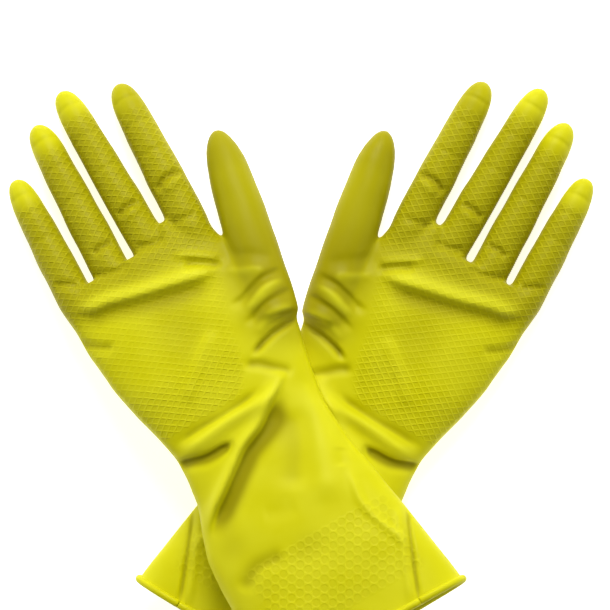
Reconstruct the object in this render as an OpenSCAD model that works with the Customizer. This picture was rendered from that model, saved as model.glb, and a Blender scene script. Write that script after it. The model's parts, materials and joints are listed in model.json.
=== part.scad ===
// A pair of household rubber gloves, filled out to the shape of the hand, lying palm up.
// The left glove lies flat on its back. The right glove crosses over it at the wrists.
// Frame: X to the right, Y toward the fingertips, Z up; origin under the middle of the pair.
// Each glove is one dipped latex skin with a flock lining and a rolled bead at the cuff.
// The skin is parted where it bends: at the root of every finger, and at the wrist.

/* [Palm] */
// Wrist line to the root of the middle finger
palm_length = 116; // [95:1:140]
// Thickness of the palm, back to front
palm_thickness = 26; // [22:1:31]
// Width of the glove at the wrist
wrist_width = 80; // [66:1:96]
// Wrist line to the middle of the ball of the thumb
thenar_reach = 53; // [44:1:64]
// Wrist line to the root of the thumb
thumb_reach = 89; // [80:1:100]

/* [Fingers] */
// Length of the thumb beyond its root
thumb_length = 53; // [44:1:64]
// Length of the index finger beyond its root
index_length = 70; // [58:1:84]
// Length of the middle finger beyond its root
middle_length = 82; // [68:1:99]
// Length of the ring finger beyond its root
ring_length = 76.5; // [63:0.5:92]
// Length of the little finger beyond its root
little_length = 60.5; // [50:0.5:73]
// Diameter of the thumb at its root
thumb_d = 24.5; // [20:0.5:29.5]
// Diameter of the index finger at its root
index_d = 19.9; // [16.5:0.1:24]
// Diameter of the middle finger at its root
middle_d = 19.1; // [16.5:0.1:23]
// Diameter of the ring finger at its root
ring_d = 19.5; // [16.5:0.1:23.5]
// Diameter of the little finger at its root
little_d = 18.6; // [16.5:0.1:22.5]
// Diameter of the four fingers where their tips start to close
tip_d = 16.4; // [13.5:0.1:16.4]
// Diameter of the thumb where its tip starts to close
thumb_tip_d = 21; // [17:0.5:25]
// Length of the closed, pointed end of each finger
tip_length = 24; // [18:1:29]
// Gap between neighbouring fingers at their roots
finger_gap = 3.3; // [2.7:0.1:4.5]

/* [Cuff] */
// Wrist line to the end of the cuff
cuff_length = 114; // [95:1:137]
// Width of the cuff at its mouth
mouth_width = 106; // [100:1:127]
// Thickness of the cuff at its mouth, back to front
mouth_thickness = 32; // [28:1:38]
// Thickness of the rolled bead
bead_d = 4; // [3.2:0.1:4.8]

/* [Skin] */
// Thickness of the latex
wall = 0.45; // [0.35:0.01:0.55]
// Thickness of the flock lining
flock = 0.15; // [0.12:0.01:0.2]
// Clearance between the latex and the flock
flock_fit = 0.05; // [0.04:0.01:0.08]
// Gap between the palm and each finger, and between the palm and the cuff
root_gap = 0.3; // [0.3:0.05:0.5]

/* [Crossing] */
// Angle of each glove from the Y axis
cross_angle = 30; // [24:1:36]
// Distance of each glove's wrist from the middle of the pair
wrist_offset = 21.5; // [18:0.5:25.5]
// Height of the right palm above the left one where their round edges come closest
stack_gap = 0.52; // [0.5:0.01:1.5]

/* [Hidden] */

latex_colour = "#c8ca10";
bead_colour = "#b4b808";
flock_colour = "#e9e7a0";

// Each glove is drawn in its own frame: X toward the thumb, Y toward the fingertips from the
// wrist line, Z from the back of the hand, which lies at 0, to the palm.
palm_r = palm_thickness / 2;
lining_inset = wall + flock_fit;
skin_inset = lining_inset + flock;

// The four fingers stand side by side, evenly about the wrist, with the thumb beyond them.
knuckle_width = little_d + ring_d + middle_d + index_d + 3 * finger_gap;
knuckle_shift = -9.6;
fan_left = knuckle_shift - knuckle_width / 2;
fan_right = fan_left + knuckle_width;
root_height = palm_r - 1.5;
thumb_web = 0.6;
blend_step = 0.6;

// A finger is [root X, root Y, root Z, lean toward the thumb, length, root diameter, tip diameter].
function little_finger() =
    [fan_left + little_d / 2, palm_length - 6, root_height, 2, little_length, little_d, tip_d];
function ring_finger() =
    [fan_left + little_d + finger_gap + ring_d / 2, palm_length - 3, root_height, 2,
     ring_length, ring_d, tip_d];
function middle_finger() =
    [fan_right - index_d - finger_gap - middle_d / 2, palm_length, root_height, -0.5,
     middle_length, middle_d, tip_d];
function index_finger() =
    [fan_right - index_d / 2, palm_length + 1, root_height, 2.5, index_length, index_d, tip_d];
function thumb() =
    [fan_right + thumb_web + thumb_d / 2, thumb_reach, palm_r, 12, thumb_length, thumb_d,
     thumb_tip_d];
FINGERS = [thumb(), index_finger(), middle_finger(), ring_finger(), little_finger()];

// The cuff widens early on the little finger's side and evenly on the thumb's side.
flare_start = 14;
flare_end = 42;
bead_r = bead_d / 2;
cuff_end = cuff_length - bead_d - flock_fit;
CUFF_STATIONS = [root_gap, flare_start, flare_start + 9, flare_end - 9, flare_end,
                 (flare_end + cuff_end) / 2, cuff_end];
RING_STEPS = 10;

// The right glove leans back on the left one: its fingertips are down and its cuff is up.
// It clears the left glove at the edges of the two palms, and where the cuffs cross.
thenar_x = thumb()[0] - 5;
rest_reach = palm_length + middle_length - 0.7 * tip_length;
wrist_x = wrist_width / 2 - palm_r;
palm_flare = (thenar_x - wrist_x) / thenar_reach;
palm_cross = (wrist_x * cos(cross_angle) - wrist_offset)
    / (sin(cross_angle) - palm_flare * cos(cross_angle));
cuff_cross = -wrist_offset / sin(cross_angle);
// Past the flats' crossing the right palm still comes down, while both round edges fall away.
palm_reach = rest_reach - palm_cross;
edge_fall = palm_r * pow(cos(cross_angle) / sin(cross_angle - atan(palm_flare)), 2) / 4;
lean = max(asin((palm_reach - sqrt(pow(palm_reach, 2) - 4 * edge_fall * (palm_thickness + stack_gap)))
                / (2 * edge_fall)),
           asin((mouth_thickness + stack_gap) / (rest_reach - cuff_cross)));
wrist_lift = rest_reach * sin(lean);
front_reach = (index_finger()[1] + index_length) * cos(cross_angle)
    + index_finger()[0] * sin(cross_angle);
back_reach = cuff_length * cos(cross_angle) + mouth_width / 2 * sin(cross_angle);
wrist_y = (back_reach - front_reach) / 2;

module in_place(side) {
    if (side == "right")
        translate([-wrist_offset, wrist_y, wrist_lift])
            rotate([0, 0, cross_angle]) rotate([-lean, 0, 0]) children();
    else
        mirror([1, 0, 0])
            translate([-wrist_offset, wrist_y, 0]) rotate([0, 0, cross_angle]) children();
}

// Puts Z along a finger, from its root, with the palm's side toward -Y.
module along(finger) {
    droop = asin((finger[2] - finger[6] / 2) / finger[4]);
    translate([finger[0], finger[1], finger[2]])
        rotate([0, 0, -finger[3]]) rotate([-90 - droop, 0, 0]) children();
}

// Outline of a finger from its root to its tip, as [radius, height] points.
function finger_outline(finger, inset) = concat(
    [[finger[5] / 2 - inset, root_gap]],
    [for (a = [0 : 11.25 : 90])
        [(finger[6] / 2 - inset) * cos(a),
         finger[4] - tip_length + (tip_length - inset) * sin(a)]]);

function reversed(list) = [for (i = [len(list) - 1 : -1 : 0]) list[i]];

module finger_skin(finger, outer, inner) {
    along(finger) rotate_extrude($fn = 64)
        polygon(concat(finger_outline(finger, outer), reversed(finger_outline(finger, inner))));
}

module ball(r) {
    sphere(r / cos(180 / $fn));
}

// The palm's solid form: a flat-backed pad with a short round root for every finger.
module palm_form(inset) {
    $fn = 24;
    corners = [[-wrist_x, 0], [wrist_x, 0],
               [thenar_x, thenar_reach], [fan_left + palm_r + 2, palm_length / 2],
               [fan_left + palm_r + 1, palm_length - palm_r - 6],
               [fan_right - palm_r, palm_length - palm_r - 3]];
    hull() for (c = corners) translate([c[0], c[1], palm_r]) ball(palm_r - inset);
    for (f = FINGERS) hull() {
        along(f) translate([0, 0, -root_gap]) cylinder(r = f[5] / 2 - inset, h = 6 + root_gap);
        along(f) translate([0, 0, -24]) ball(f[5] / 2 - inset);
    }
    hull() {
        translate([corners[2][0], corners[2][1], palm_r]) ball(palm_r - blend_step - inset);
        along(thumb()) translate([0, 0, -10]) ball(thumb_d / 2 - blend_step - inset);
    }
}

// Everything past a finger's root and past the wrist line, which other pieces cover.
module palm_ends() {
    for (f = FINGERS)
        along(f) translate([-f[5] / 2 - 0.5, -palm_thickness, 0])
            cube([f[5] + 1, 2 * palm_thickness, 40]);
    translate([-wrist_width, -2 * palm_r, -palm_r]) cube([2 * wrist_width, 2 * palm_r, 4 * palm_r]);
}

module palm_skin(outer, inner) {
    difference() {
        palm_form(outer);
        palm_form(inner);
        palm_ends();
    }
}

function ease(t) = let (c = min(1, max(0, t))) c * c * (3 - 2 * c);
function share(d) = d / cuff_end;
function cuff_left(d) =
    -(wrist_width + (mouth_width - wrist_width) * ease((d - flare_start) / (flare_end - flare_start))) / 2;
function cuff_right(d) = (wrist_width + (mouth_width - wrist_width) * share(d)) / 2;
function cuff_thickness(d) = palm_thickness + (mouth_thickness - palm_thickness) * share(d);

// One ring of the cuff at d behind the wrist line: two half circles joined by flats.
function cuff_ring(d, inset) =
    let (r = cuff_thickness(d) / 2, z = bead_r * share(d) + r)
    [for (end = [0, 1], i = [0 : RING_STEPS])
        let (a = 90 + 180 * end + 180 * i / RING_STEPS,
             x = end == 0 ? cuff_left(d) + r : cuff_right(d) - r)
        [x + (r - inset) * cos(a), -d, z + (r - inset) * sin(a)]];

module cuff_skin(outer, inner) {
    n = len(CUFF_STATIONS);
    m = 2 * (RING_STEPS + 1);
    points = [for (inset = [outer, inner], d = CUFF_STATIONS) each cuff_ring(d, inset)];
    function at(layer, station, i) = (layer * n + station) * m + i % m;
    sides = [for (layer = [0, 1], s = [0 : n - 2], i = [0 : m - 1])
        let (a = at(layer, s, i), b = at(layer, s, i + 1), c = at(layer, s + 1, i + 1),
             e = at(layer, s + 1, i))
        each layer == 0 ? [[a, b, c], [a, c, e]] : [[a, c, b], [a, e, c]]];
    ends = [for (s = [0, n - 1], i = [0 : m - 1])
        let (a = at(0, s, i), b = at(0, s, i + 1), c = at(1, s, i + 1), e = at(1, s, i))
        each s == 0 ? [[a, c, b], [a, e, c]] : [[a, b, c], [a, c, e]]];
    polyhedron(points, concat(sides, ends));
}

module cuff_roll() {
    r = mouth_thickness / 2 - wall / 2;
    half_flat = (mouth_width - mouth_thickness) / 2;
    translate([0, -cuff_length + bead_r, bead_r + mouth_thickness / 2]) rotate([90, 0, 0])
        for (turn = [0, 180]) rotate([0, 0, turn]) {
            translate([half_flat, 0, 0]) rotate([0, 0, -90])
                rotate_extrude(angle = 180, $fn = 64) translate([r, 0]) circle(r = bead_r, $fn = 32);
            translate([-half_flat, r, 0]) rotate([0, 90, 0])
                cylinder(r = bead_r, h = 2 * half_flat, $fn = 32);
        }
}

module palm(side) {
    color(latex_colour) in_place(side) palm_skin(0, wall);
}

module palm_lining(side) {
    color(flock_colour) in_place(side) palm_skin(lining_inset, skin_inset);
}

module cuff(side) {
    color(latex_colour) in_place(side) cuff_skin(0, wall);
}

module cuff_lining(side) {
    color(flock_colour) in_place(side) cuff_skin(lining_inset, skin_inset);
}

module cuff_bead(side) {
    color(bead_colour) in_place(side) cuff_roll();
}

module stall(side, finger) {
    color(latex_colour) in_place(side) finger_skin(finger, 0, wall);
}

module stall_lining(side, finger) {
    color(flock_colour) in_place(side) finger_skin(finger, lining_inset, skin_inset);
}

palm("left");  // left_palm
palm_lining("left");  // left_palm_lining
cuff("left");  // left_cuff
cuff_lining("left");  // left_cuff_lining
cuff_bead("left");  // left_cuff_bead
stall("left", thumb());  // left_thumb_stall
stall_lining("left", thumb());  // left_thumb_lining
stall("left", index_finger());  // left_index_stall
stall_lining("left", index_finger());  // left_index_lining
stall("left", middle_finger());  // left_middle_stall
stall_lining("left", middle_finger());  // left_middle_lining
stall("left", ring_finger());  // left_ring_stall
stall_lining("left", ring_finger());  // left_ring_lining
stall("left", little_finger());  // left_little_stall
stall_lining("left", little_finger());  // left_little_lining
palm("right");  // right_palm
palm_lining("right");  // right_palm_lining
cuff("right");  // right_cuff
cuff_lining("right");  // right_cuff_lining
cuff_bead("right");  // right_cuff_bead
stall("right", thumb());  // right_thumb_stall
stall_lining("right", thumb());  // right_thumb_lining
stall("right", index_finger());  // right_index_stall
stall_lining("right", index_finger());  // right_index_lining
stall("right", middle_finger());  // right_middle_stall
stall_lining("right", middle_finger());  // right_middle_lining
stall("right", ring_finger());  // right_ring_stall
stall_lining("right", ring_finger());  // right_ring_lining
stall("right", little_finger());  // right_little_stall
stall_lining("right", little_finger());  // right_little_lining
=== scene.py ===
"""A pair of household rubber gloves, crossed palm up: skins, rolled beads, flock linings and a studio."""
import json
import math

import bpy
import numpy as np
from mathutils import Matrix, Vector


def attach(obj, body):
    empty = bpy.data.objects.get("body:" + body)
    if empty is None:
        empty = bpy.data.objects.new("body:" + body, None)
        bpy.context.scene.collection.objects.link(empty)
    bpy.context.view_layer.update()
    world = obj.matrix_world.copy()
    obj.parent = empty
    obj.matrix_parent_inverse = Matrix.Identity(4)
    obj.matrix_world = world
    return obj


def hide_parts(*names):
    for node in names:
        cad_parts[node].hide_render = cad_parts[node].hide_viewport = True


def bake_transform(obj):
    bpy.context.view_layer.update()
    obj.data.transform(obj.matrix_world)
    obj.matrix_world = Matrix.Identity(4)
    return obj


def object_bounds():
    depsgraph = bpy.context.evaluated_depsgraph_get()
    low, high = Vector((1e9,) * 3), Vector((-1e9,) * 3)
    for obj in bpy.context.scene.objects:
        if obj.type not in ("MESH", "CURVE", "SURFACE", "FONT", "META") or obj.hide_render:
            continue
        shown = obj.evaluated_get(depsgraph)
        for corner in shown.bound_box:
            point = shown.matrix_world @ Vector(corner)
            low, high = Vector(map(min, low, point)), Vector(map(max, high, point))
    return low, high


bl_info = {
    "name": "Household rubber gloves",
    "version": (1, 0, 0),
    "blender": (4, 5, 0),
    "location": "View3D > Sidebar > Gloves",
    "description": "Builds a pair of dipped latex gloves around their packed frame",
    "category": "Add Mesh",
}

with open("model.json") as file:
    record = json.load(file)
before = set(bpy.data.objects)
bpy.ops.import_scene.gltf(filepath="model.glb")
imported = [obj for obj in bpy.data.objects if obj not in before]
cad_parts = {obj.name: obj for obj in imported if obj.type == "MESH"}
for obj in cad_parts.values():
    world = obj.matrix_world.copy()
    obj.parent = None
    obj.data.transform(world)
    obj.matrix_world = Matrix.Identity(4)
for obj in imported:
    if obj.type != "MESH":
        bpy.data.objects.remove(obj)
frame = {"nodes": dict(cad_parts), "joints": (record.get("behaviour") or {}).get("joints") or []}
cad_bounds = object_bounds()

MM = 0.001
SIDES = ("left", "right")
FINGERS = ("thumb", "index", "middle", "ring", "little")
JOINTS = {joint["name"]: joint for joint in frame["joints"]}


# ---------------------------------------------------------------- measuring the frame

def read(items, key, width=1, kind=np.float32):
    """One property of every item of a mesh, as an array of numbers."""
    values = np.empty(len(items) * width, kind)
    items.foreach_get(key, values)
    values = values.astype(int if kind == np.int32 else float)
    return values.reshape(-1, width) if width > 1 else values


def node_points(node):
    """Every corner of a CAD node's mesh, in the row frame."""
    obj = frame["nodes"][node]
    world = np.array(obj.matrix_world)
    return read(obj.data.vertices, "co", 3) @ world[:3, :3].T + world[:3, 3]


def long_axes(points):
    """The middle of a cloud's box along its own axes, and those axes, longest first."""
    centre = points.mean(axis=0)
    axes = np.linalg.svd(points - centre, full_matrices=False)[2]
    along = (points - centre) @ axes.T
    middle = (along.max(axis=0) + along.min(axis=0)) / 2
    return centre + middle @ axes, axes


def glove_frame(side):
    """Matrix from a glove's own frame to the row frame.

    X runs to the thumb, Y to the fingertips from the wrist line, Z from the back to the palm.
    """
    centre, axes = long_axes(node_points(f"{side}_cuff_bead"))
    across, along, up = axes[0], axes[2], axes[1]
    if (node_points(f"{side}_thumb_stall").mean(axis=0) - centre) @ across < 0:
        across = -across
    if (node_points(f"{side}_middle_stall").mean(axis=0) - centre) @ along < 0:
        along = -along
    if up[2] < 0:
        up = -up
    wrist = (node_points(f"{side}_cuff") @ along).max()
    back = (node_points(f"{side}_palm") @ up).min()
    origin = centre + along * (wrist - centre @ along) + up * (back - centre @ up)
    matrix = Matrix.Identity(4)
    for column, axis in enumerate((across, along, up, origin)):
        for row in range(3):
            matrix[row][column] = axis[row]
    return matrix


GLOVE_FRAMES = {side: glove_frame(side) for side in SIDES}


def in_glove(side, points):
    """Row-frame points in the glove's own frame."""
    inverse = np.array(GLOVE_FRAMES[side].inverted())
    return np.asarray(points) @ inverse[:3, :3].T + inverse[:3, 3]


def measure_finger(finger):
    """Root centre, direction, length and radius at the root of a finger, in the glove's frame."""
    points = in_glove("left", node_points(f"left_{finger}_stall"))
    hinge = in_glove("left", [JOINTS[f"left_{finger}_bend"]["pos_m"]])[0]
    centre, axes = long_axes(points)
    direction = axes[0] if (centre - hinge) @ axes[0] > 0 else -axes[0]
    steps = (points - centre) @ direction
    root = centre + direction * steps.min()
    radius = np.linalg.norm(hinge - root)
    return {"root": root, "direction": direction, "length": float(np.ptp(steps)),
            "radius": float(radius)}


FINGER_SIZES = {finger: measure_finger(finger) for finger in FINGERS}
MOUTH_Y = float(in_glove("left", node_points("left_cuff_bead"))[:, 1].min())


# ---------------------------------------------------------------- sizes and colours

class GloveSizes(bpy.types.PropertyGroup):
    skin: bpy.props.FloatProperty(
        name="Latex", description="Thickness of the latex", default=0.6 * MM, unit="LENGTH")
    flock: bpy.props.FloatProperty(
        name="Flock", description="Thickness of the flock lining", default=0.25 * MM, unit="LENGTH")
    bead: bpy.props.FloatProperty(
        name="Bead", description="Radius of the rolled bead", default=1.9 * MM, unit="LENGTH")
    voxel: bpy.props.FloatProperty(
        name="Voxel", description="Size of the faces that the form is fused to",
        default=0.85 * MM, unit="LENGTH")
    inner_share: bpy.props.FloatProperty(
        name="Inner faces", description="Share of the faces that the inner layers keep",
        default=0.42, min=0.05, max=1.0, subtype="FACTOR")
    lining_hem: bpy.props.FloatProperty(
        name="Lining hem", description="Bare latex between the flock and the bead",
        default=3.5 * MM, unit="LENGTH")


class GloveGrip(bpy.types.PropertyGroup):
    diamond: bpy.props.FloatProperty(
        name="Diamond", description="Spacing of the palm's diamond lattice", default=3.0 * MM,
        unit="LENGTH")
    diamond_angle: bpy.props.FloatProperty(
        name="Diamond angle", description="Angle of the lattice's lines from across the palm",
        default=math.radians(36), subtype="ANGLE")
    diamond_depth: bpy.props.FloatProperty(
        name="Diamond depth", description="Depth of the lattice's cells", default=0.24 * MM,
        unit="LENGTH")
    scale: bpy.props.FloatProperty(
        name="Scale", description="Spacing of the cuff's scales", default=4.6 * MM,
        unit="LENGTH")
    scale_depth: bpy.props.FloatProperty(
        name="Scale depth", description="Depth of the cuff's scales", default=0.15 * MM,
        unit="LENGTH")


class GloveColours(bpy.types.PropertyGroup):
    latex: bpy.props.FloatVectorProperty(
        name="Latex", description="Colour of the latex", subtype="COLOR", size=4,
        default=(0.71, 0.675, 0.002, 1))
    # Paler colour of the random clouding, and of the painted highlights on the ridges of the folds and the
    # grip's raised lines.
    thin_and_highlight: bpy.props.FloatVectorProperty(
        name="Thin latex", description="Colour where the latex is stretched thin", subtype="COLOR",
        size=4, default=(0.80, 0.775, 0.02, 1))
    # Painted shade: colour of the folds' grooves, the grip's cells, the thumb's ball and the fingers.
    painted_shade_colour: bpy.props.FloatVectorProperty(
        name="Deep latex", description="Colour where the latex gathers", subtype="COLOR", size=4,
        default=(0.33, 0.285, 0.0005, 1))
    flock: bpy.props.FloatVectorProperty(
        name="Flock", description="Colour of the flock lining", subtype="COLOR", size=4,
        default=(0.88, 0.86, 0.5, 1))


class GloveStudio(bpy.types.PropertyGroup):
    floor: bpy.props.FloatVectorProperty(
        name="Floor", description="Colour of the floor", subtype="COLOR", size=4,
        default=(0.95, 0.95, 0.95, 1))
    distance: bpy.props.FloatProperty(
        name="Camera distance", description="Height of the camera above the floor", default=1.7,
        unit="LENGTH")
    width: bpy.props.FloatProperty(
        name="View width", description="Width of the view at the gloves", default=0.305,
        unit="LENGTH")
    level: bpy.props.FloatProperty(
        name="View level", description="Height above the floor at which the view has its width",
        default=0.012, unit="LENGTH")
    rim: bpy.props.FloatProperty(
        name="Rim sky", description="Brightness of the sky near the horizon", default=0.26)
    zenith: bpy.props.FloatProperty(
        name="Zenith sky", description="Brightness of the sky overhead", default=0.13)
    key: bpy.props.FloatProperty(
        name="Key light", description="Power of the soft light beyond the fingertips", default=17.5,
        unit="POWER")
    side: bpy.props.FloatProperty(
        name="Side lights", description="Power of each light at the sides", default=2.5,
        unit="POWER")
    glow: bpy.props.FloatProperty(
        name="Floor glow", description="Light that the lit floor gives off", default=0.75)


# ---------------------------------------------------------------- modelling helpers

def only(*objects):
    """Selects just these objects, the last one active."""
    bpy.ops.object.select_all(action="DESELECT")
    for obj in objects:
        obj.select_set(True)
        bpy.context.view_layer.objects.active = obj
    return objects[-1]


def copy_of(obj, name):
    """A copy with a mesh of its own."""
    only(obj)
    bpy.ops.object.duplicate()
    copy = bpy.context.object
    copy.name = copy.data.name = name
    return copy


def add_modifier(obj, kind, **settings):
    """Adds a modifier with these settings and applies it."""
    only(obj)
    modifier = obj.modifiers.new(kind.title(), kind)
    for key, value in settings.items():
        setattr(modifier, key, value)
    bpy.ops.object.modifier_apply(modifier=modifier.name)


def loft(name, stations, sides=40, squareness=2.0):
    """A closed tube along Z: each station is (x, y, z, half width, half height) in millimetres."""
    x, y, z, wide, high = (value * MM for value in stations[0])
    bpy.ops.object.select_all(action="DESELECT")
    bpy.ops.mesh.primitive_circle_add(vertices=sides, radius=1, fill_type="NGON", location=(0, 0, 0))
    obj = bpy.context.object
    obj.name = name
    for vertex in obj.data.vertices:
        for axis, reach in ((0, wide), (1, high)):
            share = vertex.co[axis]
            vertex.co[axis] = math.copysign(abs(share) ** (2 / squareness), share) * reach
        vertex.co += Vector((x, y, z))
    bpy.ops.object.mode_set(mode="EDIT")
    bpy.ops.mesh.select_all(action="SELECT")
    for before, after in zip(stations, stations[1:]):
        step = [(after[axis] - before[axis]) * MM for axis in range(3)]
        bpy.ops.mesh.extrude_region_move(TRANSFORM_OT_translate={"value": step})
        bpy.ops.transform.resize(
            value=(after[3] / before[3], after[4] / before[4], 1),
            center_override=[after[axis] * MM for axis in range(3)])
    bpy.ops.mesh.select_all(action="SELECT")
    bpy.ops.mesh.normals_make_consistent(inside=False)
    bpy.ops.object.mode_set(mode="OBJECT")
    return obj


def settle(obj, matrix):
    """Puts a finished piece's place into its mesh."""
    obj.matrix_world = matrix @ obj.matrix_world
    only(obj)
    bpy.ops.object.transform_apply(location=True, rotation=True, scale=True)


def get_points(obj):
    return read(obj.data.vertices, "co", 3)


def get_normals(obj):
    return read(obj.data.vertices, "normal", 3)


def set_points(obj, points):
    obj.data.vertices.foreach_set("co", np.ascontiguousarray(points).ravel())
    obj.data.update()


def face_centres(obj):
    return read(obj.data.polygons, "center", 3)


def select_faces(obj, chosen):
    """Leaves just the chosen faces selected, for edit mode."""
    mesh = obj.data
    mesh.vertices.foreach_set("select", np.zeros(len(mesh.vertices), bool))
    mesh.edges.foreach_set("select", np.zeros(len(mesh.edges), bool))
    mesh.polygons.foreach_set("select", chosen)
    bpy.context.tool_settings.mesh_select_mode = (False, False, True)


def select_edges(obj, chosen):
    """Leaves just the chosen edges selected, for edit mode."""
    mesh = obj.data
    mesh.vertices.foreach_set("select", np.zeros(len(mesh.vertices), bool))
    mesh.polygons.foreach_set("select", np.zeros(len(mesh.polygons), bool))
    mesh.edges.foreach_set("select", chosen)
    bpy.context.tool_settings.mesh_select_mode = (False, True, False)


def edit(obj):
    only(obj)
    bpy.ops.object.mode_set(mode="EDIT")


def done():
    bpy.ops.object.mode_set(mode="OBJECT")


def keep_faces(obj, kept):
    """Deletes every other face, and the corners that only those used."""
    select_faces(obj, ~kept)
    edit(obj)
    bpy.ops.mesh.delete(type="FACE")
    done()


def ease(value, low=0.0, high=1.0):
    """0 below low, 1 above high, smooth between."""
    share = np.clip((value - low) / (high - low), 0, 1)
    return share * share * (3 - 2 * share)


def band(value, low, high, fade):
    """1 between low and high, fading to 0 over this distance outside them."""
    return ease(value, low - fade, low) * (1 - ease(value, high, high + fade))


# ---------------------------------------------------------------- the filled-out form

# The hand's body from the cuff's mouth to the knuckles, in the glove's frame, in millimetres:
# (Y, little finger's side, thumb's side, back, palm).
BODY = (
    (-121, -53.6, 54.6, 2.0, 34.0),
    (-112, -53.0, 53.6, 2.0, 34.0),
    (-89, -52.5, 50.3, 1.6, 33.0),
    (-63, -52.2, 46.2, 1.2, 31.5),
    (-42, -51.0, 42.8, 0.8, 30.0),
    (-29, -46.6, 40.3, 0.5, 28.5),
    (-16, -41.8, 38.9, 0.3, 27.2),
    (-3, -40.3, 38.3, 0.1, 26.0),
    (10, -39.8, 40.0, 0.0, 25.5),
    (24, -43.0, 43.0, 0.0, 25.5),
    (38, -46.8, 46.4, 0.0, 25.5),
    (56, -50.3, 46.5, 0.0, 25.5),
    (74, -52.0, 41.0, 0.2, 25.2),
    (90, -52.4, 35.4, 0.8, 24.6),
    (101, -52.6, 32.8, 1.8, 23.4),
    (107, -50.5, 32.2, 3.6, 21.4),
)
# The skin that fills the fork of the index and middle fingers, listed in the same way.
WEB = ((96, 2.0, 22.0, 4.5, 21.5), (106, 4.5, 19.5, 5.0, 21.0), (112, 6.5, 17.5, 6.0, 20.0),
       (115.5, 9.0, 15.5, 8.0, 18.0))
# A finger along its own length: (share of its length, share of its radius at the root).
FINGER_TAPER = ((0, 1.0), (0.14, 0.98), (0.24, 0.985), (0.42, 0.935), (0.6, 0.89))
# The last stretch to the tip: (millimetres before the tip, share of the root radius).
FINGER_TIP = ((24, 0.86), (15, 0.82), (9, 0.73), (5, 0.61), (2.5, 0.46), (1, 0.29), (0.2, 0.1))
THUMB_TAPER = ((0, 1.0), (0.2, 0.98), (0.38, 0.93))
THUMB_TIP = ((26, 0.88), (17, 0.79), (10, 0.65), (5.5, 0.5), (2.5, 0.35), (1, 0.21), (0.2, 0.08))
# How each finger starts inside the hand's body: (millimetres past its root, share of the root radius).
FINGER_START = ((-34, 0.6), (-18, 0.9), (-8, 0.99))
THUMB_START = ((-46, 1.05), (-26, 1.06), (-10, 1.04))
# Length that fusing and smoothing take off each fingertip, in millimetres.
TIP_ALLOWANCE = 2.8
# Where the thumb's form begins across the palm and along the thumb, and where the webs begin, from
# the place where relaxing the body starts to ease off to where it stops, in millimetres.
THUMB_ACROSS = (34, 38)
THUMB_ALONG = (-14, 4)
WEBS_ALONG = (92, 106)


def finger_matrix(finger):
    """Puts Z along a finger from its root, X to the thumb's side and -Y to the palm's side."""
    size = FINGER_SIZES[finger]
    along = Vector(size["direction"]).normalized()
    down = Vector((0, 0, -1))
    across = down.cross(along).normalized()
    down = along.cross(across)
    matrix = Matrix((across, down, along)).transposed().to_4x4()
    matrix.translation = Vector(size["root"])
    return matrix


def finger_form(finger):
    """A filled-out finger, rooted inside the hand's body."""
    size = FINGER_SIZES[finger]
    radius, length = size["radius"] / MM, size["length"] / MM + TIP_ALLOWANCE
    if finger == "thumb":
        start, taper, tip = THUMB_START, THUMB_TAPER, THUMB_TIP
    else:
        start, taper, tip = FINGER_START, FINGER_TAPER, FINGER_TIP
    stations = [(0, 0, z, radius * share, radius * share) for z, share in start]
    stations += [(0, 0, length * z, radius * share, radius * share) for z, share in taper]
    stations += [(0, 0, length - z, radius * share, radius * share) for z, share in tip]
    obj = loft(f"{finger}_form", stations, sides=32)
    settle(obj, finger_matrix(finger))
    return obj


def body_form(name, rows, squareness):
    """A filled-out part of the hand's body, lofted through these rows."""
    stations = [((left + right) / 2, -(back + front) / 2, y, (right - left) / 2, (front - back) / 2)
                for y, left, right, back, front in rows]
    obj = loft(name, stations, sides=72, squareness=squareness)
    # The loft's Z is the glove's Y, and its Y is the glove's -Z.
    settle(obj, Matrix(((1, 0, 0, 0), (0, 0, 1, 0), (0, -1, 0, 0), (0, 0, 0, 1))))
    return obj


def relax_body(obj, iterations):
    """Blends the thumb's ball and the knuckles into the palm, and leaves the fingers' webs crisp."""
    points = get_points(obj) / MM
    thumb = FINGER_SIZES["thumb"]
    past_thumb = (points - thumb["root"] / MM) @ thumb["direction"]
    weight = 1 - ease(points[:, 1], *WEBS_ALONG)
    weight *= 1 - ease(points[:, 0], *THUMB_ACROSS) * ease(past_thumb, *THUMB_ALONG)
    group = obj.vertex_groups.new(name="body")
    for level in range(1, 11):
        chosen = np.flatnonzero(np.round(weight * 10) == level)
        group.add(chosen.tolist(), level / 10, "REPLACE")
    add_modifier(obj, "SMOOTH", factor=0.5, iterations=iterations, vertex_group="body")
    obj.vertex_groups.clear()


class GLOVES_OT_form(bpy.types.Operator):
    """Fuses the body and the fingers into one smooth closed form"""

    bl_idname = "gloves.form"
    bl_label = "Filled-out form"

    def execute(self, context):
        sizes = context.scene.glove_sizes
        form = only(body_form("body_form", BODY, 2.5), body_form("web_form", WEB, 2.0),
                    *[finger_form(finger) for finger in FINGERS])
        bpy.ops.object.join()
        form.name = form.data.name = "glove_form"
        add_modifier(form, "REMESH", mode="VOXEL", voxel_size=sizes.voxel, adaptivity=0)
        add_modifier(form, "SMOOTH", factor=0.5, iterations=24)
        relax_body(form, 80)
        return {"FINISHED"}


# ---------------------------------------------------------------- folds

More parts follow.
